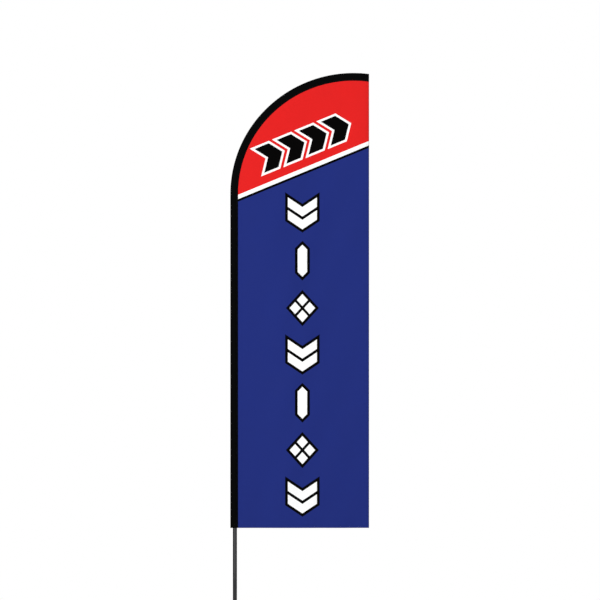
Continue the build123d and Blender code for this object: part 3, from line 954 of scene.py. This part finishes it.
def core_radius(x, z, turn):
    """The radius of what the sleeve holds: on the curve the rod, its cap and the liner, and below
    that the tubes, which step down at each joint."""
    if turn > 0:
        radius = rod_radius_at(turn)
        radius += (cap_radius - radius) * smooth(x - cap_low.x, *CAP_STEP)
        return radius + LINER_ROOM * smooth(x - liner_low.x, *LINER_STEP)
    radius = tube_radii[0]
    for top, above in zip(tube_tops, tube_radii[1:] + [ROD_BASE_RADIUS]):
        radius += (above - radius) * smooth(z - top, *TUBE_STEP)
    return radius


def tangent_slope(distance, radius):
    """Slope of the cloth from an edge this far from the pole's axis on to the pole."""
    root = (distance * EDGE_GAP) ** 2 - (distance**2 - radius**2) * (EDGE_GAP**2 - radius**2)
    return (-distance * EDGE_GAP + sqrt(root)) / (distance**2 - radius**2)


def circle_depth(offset, radius):
    """Half a circle's depth this far from its middle, and 0 outside it."""
    return sqrt(max(radius**2 - offset**2, 0.0))


def stretched_depth(inset, axis_inset, radius):
    """Half the sleeve's depth here: cloth drawn straight from its edges on to the pole, and round
    it."""
    distance = axis_inset if inset < axis_inset else sleeve_width - axis_inset
    edge = inset if inset < axis_inset else sleeve_width - inset
    slope = tangent_slope(distance, radius)
    touch = distance - radius * slope / sqrt(1 + slope**2)
    if edge < touch:
        return EDGE_GAP + slope * edge
    return circle_depth(distance - edge, radius)


def sleeve_wrinkle(z, turn, inset, side, radius):
    """Small folds in the sleeve's cloth: puckers along the seam, and slack off the pole."""
    station = min(z, shoulder_z) - flag_bottom + SHOULDER_RADIUS * turn
    from_seam = sleeve_width - inset
    seam_zone = smooth(from_seam, 0.0, 0.004) * (1 - smooth(from_seam, 0.006, 0.030))
    spacing = 0.036 - 0.012 * smooth(turn, 0.1, 0.6)
    size = (0.0006 + 0.0005 * smooth(turn, 0.0, 0.5), spacing)
    puckers = pucker(size, station, 5, noise_at(station * 5, 1.5 + side, 4.0))
    slack = smooth(inset, 0.0, 0.008) * smooth(from_seam, 0.0, 0.012)
    slack *= 0.3 + 0.7 * (1 - smooth(radius, 0.008, 0.0135))
    folds = noise_at(station * 9, inset * 40, 6.0 + 3 * side)
    folds += 0.5 * noise_at(station * 23 + inset * 60, inset * 90, 1.0 + 3 * side)
    return seam_zone * puckers + slack * WRINKLE_HEIGHT * max(folds + 0.1, -0.1)


def sleeve_depth(x, z, turn, inset, side):
    """The sleeve's surface at this place, measured from the flag's middle plane. side is -1 on the
    front and 1 on the back."""
    core = core_radius(x, z, turn)
    bound = 1 - smooth(z - binding_high.z, 0.0, MOUTH_STEP)
    radius = core + CLOTH_THICKNESS + SLEEVE_PLAY + BINDING_ROOM * bound
    axis_inset = pole_inset if turn == 0 else rod_inset(turn)
    depth = stretched_depth(inset, axis_inset, radius)
    depth += sleeve_wrinkle(z, turn, inset, side, core)
    depth = max(depth, circle_depth(inset - axis_inset, radius))
    closing = smooth(flag_right - x, *END_STEP)
    return side * max(EDGE_GAP + (depth - EDGE_GAP) * closing, EDGE_GAP)


def sleeve_point(x, z, turn, inset, side):
    return x, sleeve_depth(x, z, turn, inset, side), z


def sleeve_columns():
    """Places across the sleeve, closer together at its two edges: insets from the fold."""
    return [sleeve_width * (1 - cos(angle)) / 2 for angle in spread(0.0, pi, SLEEVE_COLUMNS)]


def both_faces(columns):
    """These columns on the sleeve's front, then in reverse on its back: (side, column)."""
    return [(-1, column) for column in columns] + [(1, column) for column in columns[::-1]]


def make_sleeve_cloth():
    """The black sleeve: one folded strip round the pole and the rod, open at its foot and sewn
    shut at the flag's right-hand edge."""
    columns = both_faces([(inset, edge_path(inset)) for inset in sleeve_columns()])
    rings = []
    for i in range(sum(PATH_STEPS) + 1):
        rings.append([sleeve_point(*path[i], inset, side) for side, (inset, path) in columns])
    sleeve = loft("sleeve_cloth", rings, "sleeve_cloth", closed_ends=(False, True), sharp=70)
    thicken(sleeve, CLOTH_THICKNESS, offset=-1.0)
    return settle(sleeve, "tip_and_flag", "pole_sleeve")


def lined_insets(place, thickness):
    """Where across the sleeve it is deep enough, at this place along it, for a lining this thick."""
    room = CLOTH_THICKNESS + thickness + EDGE_GAP
    return [inset for inset in sleeve_columns() if sleeve_depth(*place, inset, 1) > room]


def lining_ring(insets, places, play):
    """One ring of points just inside the sleeve's cloth. places holds an (x, z, turn) for each of
    the insets, and play is the gap to the cloth's inner face."""
    ring = []
    for side, (inset, (x, z, turn)) in both_faces(list(zip(insets, places))):
        depth = side * sleeve_depth(x, z, turn, inset, side) - CLOTH_THICKNESS - play
        ring.append((x, side * max(depth, LINING_EDGE), z))
    return ring


def make_mouth_binding():
    """The webbing sewn round the inside of the sleeve's mouth."""
    insets = lined_insets((fold_x, flag_bottom, 0.0), BINDING_THICKNESS)
    heights = spread(binding_low.z + BINDING_RISE, binding_high.z, BINDING_STEPS)
    rings = []
    for play, course in ((LINING_PLAY, heights), (LINING_PLAY + BINDING_THICKNESS, heights[::-1])):
        for height in course:
            places = [(fold_x + inset, height, 0.0) for inset in insets]
            rings.append(lining_ring(insets, places, play))
    binding = loft("mouth_binding_tape", rings + rings[:1], "webbing", sharp=60)
    return settle(binding, "tip_and_flag", "sleeve_mouth_binding")


def make_tip_pocket():
    """The second layer of cloth inside the sleeve's closed end, where the rod's tip pushes."""
    middle = edge_path(sleeve_width / 2)
    end_x = flag_right - LINER_END_GAP
    chosen = [i for i, (x, z, turn) in enumerate(middle) if liner_low.x < x < end_x and turn > 1]
    insets = lined_insets(middle[chosen[len(chosen) // 2]], LINER_THICKNESS)
    paths = [edge_path(inset) for inset in insets]
    rings = [lining_ring(insets, [path[i] for path in paths], LINING_PLAY) for i in chosen]
    pocket = loft("tip_pocket_cloth", rings, "webbing", sharp=70)
    thicken(pocket, LINER_THICKNESS, offset=-1.0)
    return settle(pocket, "tip_and_flag", "tip_pocket_liner")


# ==== Stitching ====
STITCH_PITCH = 0.0036
STITCH_RADIUS = 0.00032
SEAM_ROWS = (0.0025, 0.0085)  # from the sleeve's sewn edge
END_ROWS = (0.0035, 0.0065, 0.0110)  # from the flag's right-hand edge
MOUTH_ROWS = (0.006, 0.026)  # above the sleeve's foot
HEM_ROW = HEM_WIDTH - 0.004  # from the flag's edge
ROW_END_GAP = 0.002  # from a row's end to the flag's edge
END_MARGIN = 0.003  # from a row across the sleeve to its fold and its seam
MOUTH_MARGIN = 0.004
STITCH_DIPS = (0.07, 0.93)  # where the thread goes into the cloth, as shares of the pitch
STITCH_TOPS = (0.27, 0.73)  # where it lies on the cloth


def add_stitch(vertices, faces, start, end, side):
    """One lockstitch: a short length of thread that dips into the cloth at both ends."""
    along = end - start
    up = Vector((0, side, 0))
    across = along.normalized().cross(up)
    first = len(vertices)
    last = first + 9
    lift = STITCH_RADIUS * 0.7
    vertices.append(start + along * STITCH_DIPS[0] - up * STITCH_RADIUS)
    for share in STITCH_TOPS:
        centre = start + along * share + up * lift
        for turn in around(4):
            vertices.append(centre + (across * cos(turn) + up * sin(turn)) * STITCH_RADIUS)
    vertices.append(start + along * STITCH_DIPS[1] - up * STITCH_RADIUS)
    for j in range(4):
        k = (j + 1) % 4
        faces.append((first, first + 1 + j, first + 1 + k))
        faces.append((first + 5 + j, first + 5 + k, first + 1 + k, first + 1 + j))
        faces.append((last, first + 5 + k, first + 5 + j))


def sleeve_row(inset, side):
    """Points for a row of stitches along the sleeve, this far inside its folded edge."""
    steps = [max(2, round(steps * STATION_SPACING / STITCH_PITCH)) for steps in PATH_STEPS]
    path = [place for place in edge_path(inset, steps) if place[0] < flag_right - ROW_END_GAP]
    return [sleeve_point(*place, inset, side) for place in path]


def cloth_row(start, end, side, lift):
    """Points for a straight row on the panel, which lie this far off its middle."""
    return [(x, drape(x, z) + side * lift, z) for x, z in split_line(start, end, STITCH_PITCH)]


def end_place(distance, inset):
    """Where the sleeve is, this far from the flag's right-hand edge: (x, z, turn)."""
    x = flag_right - distance
    return x, crown_height(x, inset), crown_turn(x, inset)


def mouth_place(height, inset):
    """Where the sleeve is, this far above its foot: (x, z, turn)."""
    return fold_x + inset, flag_bottom + height, 0.0


def rows_across(place_at, distances, margin, side):
    """Points for rows across the sleeve, which stop this far short of its two edges."""
    insets = spaced(margin, sleeve_width - margin, STITCH_PITCH)
    return [[sleeve_point(*place_at(d, inset), inset, side) for inset in insets] for d in distances]


def stitch_rows(side, hem_lift):
    """Every row of stitches on one side of the flag."""
    side_x = flag_right - HEM_ROW
    foot_z = flag_bottom + HEM_ROW
    side_start = (side_x, flag_bottom + ROW_END_GAP)
    side_end = (side_x, crown_height(side_x, sleeve_width))
    rows = [sleeve_row(sleeve_width - distance, side) for distance in SEAM_ROWS]
    rows.append(cloth_row(side_start, side_end, side, hem_lift))
    rows.append(cloth_row((seam_x, foot_z), (side_x, foot_z), side, hem_lift))
    rows += rows_across(end_place, END_ROWS, END_MARGIN, side)
    rows += rows_across(mouth_place, MOUTH_ROWS, MOUTH_MARGIN, side)
    return rows


def make_stitching():
    """All the stitches, as one piece: thread shows on the panel's front and on the hems' back."""
    vertices = []
    faces = []
    hem_back = CLOTH_THICKNESS / 2 + HEM_PLAY + HEM_LAYERS
    for side, hem_lift in ((-1, CLOTH_THICKNESS / 2), (1, hem_back)):
        for points in stitch_rows(side, hem_lift):
            for start, end in zip(points, points[1:]):
                add_stitch(vertices, faces, Vector(start), Vector(end), side)
    stitching = new_piece("seam_stitching", vertices, faces, ["black_thread"])
    return settle(stitching, "tip_and_flag")


# ==== The whole flag ====
def outline_area(outline):
    """The area inside a closed outline."""
    return abs(sum(ax * bz - bx * az for (ax, az), (bx, bz) in sides_of(outline))) / 2


def declare_cloth():
    """Works out the area inside the panel's cut outline, which nothing then uses."""
    area = outline_area(panel_outline())


dress_frame()
make_pole_and_spike()
make_rod()
cloth = make_flag_cloth()
hems = make_hems()
sleeve = make_sleeve_cloth()
binding = make_mouth_binding()
pocket = make_tip_pocket()
stitching = make_stitching()
declare_cloth()


# ==== Floor, light and camera ====
FLOOR_RADIUS = 3.2
FLOOR_MIDDLE = 0.35
FLOOR_GAP = 0.002  # under the spike's tip
VIEW_WIDTH = 3.956  # how much of the flag's plane the camera takes in
VIEW_CENTRE = (0.4292, 2.1030)
CAMERA_DISTANCE = 40.0
SENSOR = 36.0
FRONT_LIGHT = 1.81
BACK_LIGHT = 0.22
LAMP_AIM = (0.4, 0, 2.0)


def make_floor():
    """A pale round floor under the spike's tip."""
    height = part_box("spike_rod")[0].z - FLOOR_GAP
    sides = 96
    turns = around(sides)
    rim = [(FLOOR_MIDDLE + FLOOR_RADIUS * cos(turn), FLOOR_RADIUS * sin(turn), height) for turn in turns]
    faces = [(0, 1 + j, 1 + (j + 1) % sides) for j in range(sides)]
    floor_disc = new_piece("studio_floor", [(FLOOR_MIDDLE, 0, height)] + rim, faces, ["studio_floor"])


def area_light(name, place, size, power):
    data = bpy.data.lights.new(name, "AREA")
    data.shape = "SQUARE"
    data.size = size
    data.energy = power
    lamp = add_object(name, data)
    lamp.location = place
    lamp.rotation_mode = "QUATERNION"
    lamp.rotation_quaternion = (Vector(LAMP_AIM) - Vector(place)).to_track_quat("-Z", "Y")


def make_light():
    """A room that is bright in front and darker to the sides and behind, which gives round things
    their dark edges, and two large soft lamps that shape the folds."""
    world = bpy.data.worlds.new("studio")
    world.use_nodes = True
    tree = world.node_tree
    direction = add_node(tree, "TexCoord", "Generated", {})
    backwards = add_node(tree, "SeparateXYZ", "Y", {"Vector": direction})
    zone = {"Value": backwards, "From Min": -0.97, "From Max": -0.60}
    levels = {"To Min": FRONT_LIGHT, "To Max": BACK_LIGHT}
    brightness = add_node(tree, "MapRange", "Result", zone | levels, interpolation_type="SMOOTHSTEP")
    room = tree.nodes["Background"]
    fill_inputs(tree, room, {"Color": (1, 1, 1, 1), "Strength": brightness})
    backdrop = add_node(tree, "Background", "Background", {"Color": (1, 1, 1, 1), "Strength": 1.0})
    seen = add_node(tree, "LightPath", "Is Camera Ray", {})
    choices = {"Fac": seen, 1: room.outputs["Background"], 2: backdrop}
    mixed = add_node(tree, "MixShader", "Shader", choices)
    fill_inputs(tree, tree.nodes["World Output"], {"Surface": mixed})
    bpy.context.scene.world = world
    area_light("key", (-5.5, -7.0, 5.5), 3.0, 480)
    area_light("fill_behind", (3.0, 8.0, 4.0), 4.0, 900)


def make_camera():
    """A long lens, level with the middle of the view and straight in front of the print."""
    data = bpy.data.cameras.new("front")
    data.type = "PERSP"
    data.sensor_width = SENSOR
    data.lens = SENSOR * CAMERA_DISTANCE / VIEW_WIDTH
    data.clip_end = 200
    camera = add_object("front", data)
    camera.location = (VIEW_CENTRE[0], -CAMERA_DISTANCE, VIEW_CENTRE[1])
    camera.rotation_euler = (pi / 2, 0, 0)
    bpy.context.scene.camera = camera


make_floor()
make_light()
make_camera()
bpy.context.scene.view_settings.view_transform = "Standard"
